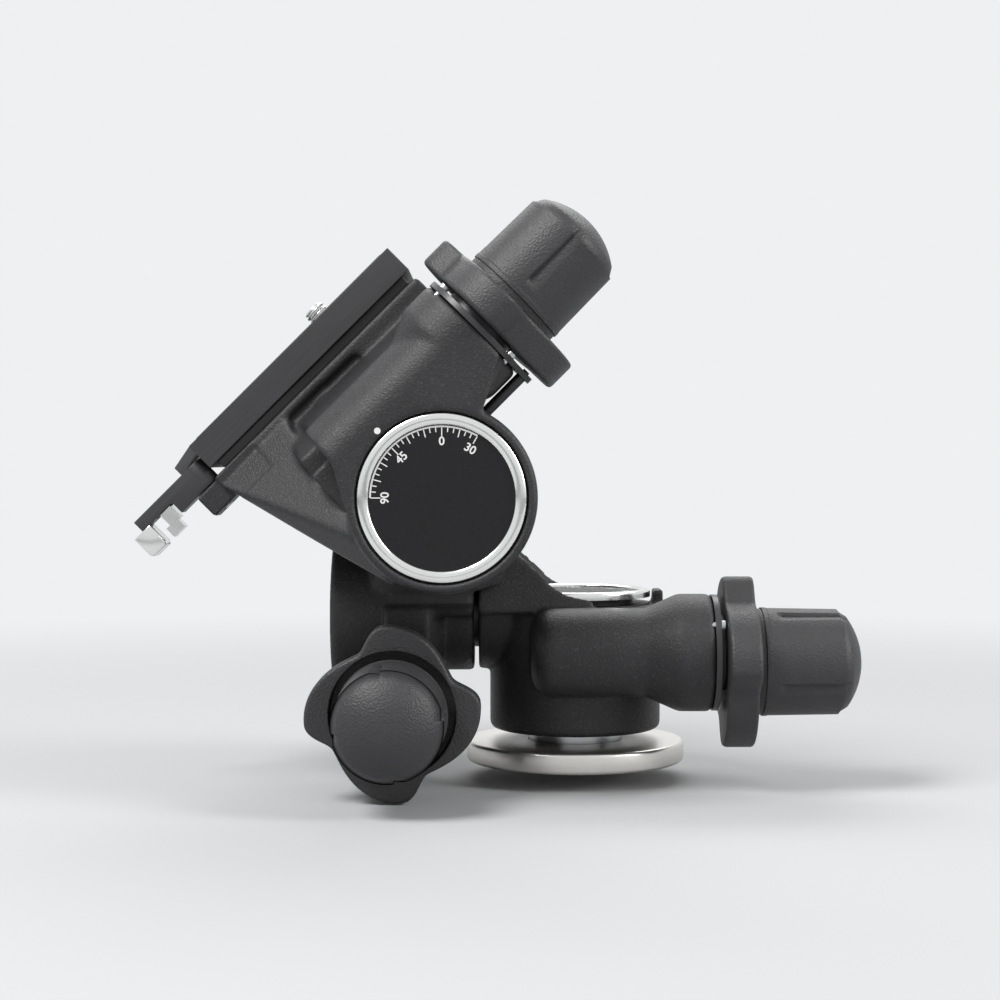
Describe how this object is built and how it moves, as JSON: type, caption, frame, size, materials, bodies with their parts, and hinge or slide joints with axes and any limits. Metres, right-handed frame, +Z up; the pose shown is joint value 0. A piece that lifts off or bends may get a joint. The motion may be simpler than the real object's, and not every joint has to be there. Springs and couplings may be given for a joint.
{
  "type": "geared tripod head",
  "caption": "Three-axis geared tripod head with worm drives, release collars, angle dials and a quick-release camera plate",
  "frame": {"origin": "on the pan axis, at the underside of the base disc, at the mouth of the tripod screw socket", "axes": "+Z up along the pan axis; +X to the right along the pan knob; -Y towards the viewer who reads the front tilt dial"},
  "size_m": [0.192, 0.1049, 0.1531],
  "materials": {
    "black_cast": "fine textured black powder coat",
    "black_grip": "moulded, fine leather-like grain",
    "satin_silver": "fine satin, turned",
    "bright_ring": "bright turned and lacquered",
    "dial_black": "smooth black with white marks",
    "steel": "turned and ground",
    "bronze": "machined bronze",
    "pad": "ribbed rubber",
    "chrome_part": "bright plated",
    "plate_black": "black anodised with fine machining lines"
  },
  "bodies": {
    "base": {"base_disc": "satin_silver", "base_screws": "steel", "pan_spindle": "steel", "pan_wheel": "bronze", "pan_nut": "steel", "pan_dial": "dial_black", "pan_dial_ring": "bright_ring"},
    "pan_body": {"pan_housing": "black_cast", "pan_bush": "bronze", "pan_cover": "plate_black", "pan_retainer": "plate_black", "pan_retainer_screws": "steel", "pan_spring": "steel", "pan_stop_pin": "steel", "side_shaft": "steel", "side_shaft_screws": "steel", "side_wheel": "bronze", "side_nut": "steel", "side_dial": "dial_black", "side_dial_ring": "bright_ring"},
    "pan_release": {"pan_sleeve": "steel", "pan_collar": "black_grip"},
    "pan_drive": {"pan_worm": "steel", "pan_knob": "black_grip"},
    "side_body": {"side_housing": "black_cast", "side_bush": "bronze", "side_cover": "plate_black", "side_retainer": "plate_black", "side_retainer_screws": "steel", "side_spring": "steel", "side_stop_pin": "steel", "front_shaft": "steel", "front_shaft_screws": "steel", "front_wheel": "bronze", "front_nut": "steel", "front_dial": "dial_black", "front_dial_ring": "bright_ring"},
    "side_release": {"side_sleeve": "steel", "side_collar": "black_grip"},
    "side_drive": {"side_worm": "steel", "side_knob": "black_grip"},
    "front_body": {"front_housing": "black_cast", "front_bush": "bronze", "front_cover": "plate_black", "front_retainer": "plate_black", "front_retainer_screws": "steel", "front_spring": "steel", "front_stop_pin": "steel", "camera_plate": "plate_black", "plate_pad": "pad", "lever_pivot": "steel"},
    "front_release": {"front_sleeve": "steel", "front_collar": "black_grip"},
    "front_drive": {"front_worm": "steel", "front_knob": "black_grip"},
    "lever": {"clamp_lever": "plate_black", "lever_tab": "chrome_part"},
    "wedge": {"clamp_wedge": "bronze"},
    "catch": {"safety_catch": "chrome_part"},
    "screw": {"camera_screw": "chrome_part"}
  },
  "joints": [
    {"name": "pan_turn", "type": "hinge", "parent": "base", "child": "pan_body", "pos_m": [0, 0, 0.0292], "axis": [0, 0, 1], "continuous": true},
    {"name": "pan_release_turn", "type": "hinge", "parent": "pan_body", "child": "pan_release", "pos_m": [0, -0.0246, 0.0318], "axis": [-1, 0, 0], "range_deg": [0, 40], "stiffness_Nm_per_rad": 0.3},
    {"name": "pan_knob_turn", "type": "hinge", "parent": "pan_release", "child": "pan_drive", "pos_m": [0.04, -0.023, 0.0292], "axis": [1, 0, 0], "continuous": true},
    {"name": "side_tilt", "type": "hinge", "parent": "pan_body", "child": "side_body", "pos_m": [-0.0272, 0, 0.041], "axis": [1, 0, 0], "range_deg": [-90, 30]},
    {"name": "side_release_turn", "type": "hinge", "parent": "side_body", "child": "side_release", "pos_m": [-0.0508, 0, 0.0164], "axis": [0, 1, 0], "range_deg": [0, 40], "stiffness_Nm_per_rad": 0.3},
    {"name": "side_knob_turn", "type": "hinge", "parent": "side_release", "child": "side_drive", "pos_m": [-0.0482, -0.04, 0.018], "axis": [0, -1, 0], "range_deg": [-1440, 4320]},
    {"name": "front_tilt", "type": "hinge", "parent": "side_body", "child": "front_body", "pos_m": [-0.035, -0.0272, 0.0735], "axis": [0, -1, 0], "range_deg": [-75, 45]},
    {"name": "front_release_turn", "type": "hinge", "parent": "front_body", "child": "front_release", "pos_m": [-0.05239, -0.0508, 0.0909], "axis": [0.7071, 0, 0.7071], "range_deg": [0, 40], "stiffness_Nm_per_rad": 0.3},
    {"name": "front_knob_turn", "type": "hinge", "parent": "front_release", "child": "front_drive", "pos_m": [-0.02298, -0.0482, 0.11805], "axis": [0.7071, 0, 0.7071], "range_deg": [-2160, 3600]},
    {"name": "lever_swing", "type": "hinge", "parent": "front_body", "child": "lever", "pos_m": [-0.09765, -0.025, 0.07619], "axis": [-0.7071, 0, 0.7071], "range_deg": [0, 70]},
    {"name": "wedge_slide", "type": "slide", "parent": "front_body", "child": "wedge", "axis": [-0.7071, 0, -0.7071], "range_m": [0, 0.00055]},
    {"name": "catch_slide", "type": "slide", "parent": "lever", "child": "catch", "axis": [-0.7071, 0, -0.7071], "range_m": [0, 0.0018], "stiffness_N_per_m": 20},
    {"name": "camera_screw_turn", "type": "hinge", "parent": "front_body", "child": "screw", "pos_m": [-0.06505, -0.005, 0.11699], "axis": [-0.7071, 0, 0.7071], "continuous": true}
  ],
  "couplings": [
    {"joint": "pan_knob_turn", "follows": "pan_turn", "ratio": 48},
    {"joint": "side_knob_turn", "follows": "side_tilt", "ratio": -48},
    {"joint": "front_knob_turn", "follows": "front_tilt", "ratio": -48},
    {"joint": "wedge_slide", "follows": "lever_swing", "m_per_rad": 0.00045018}
  ]
}
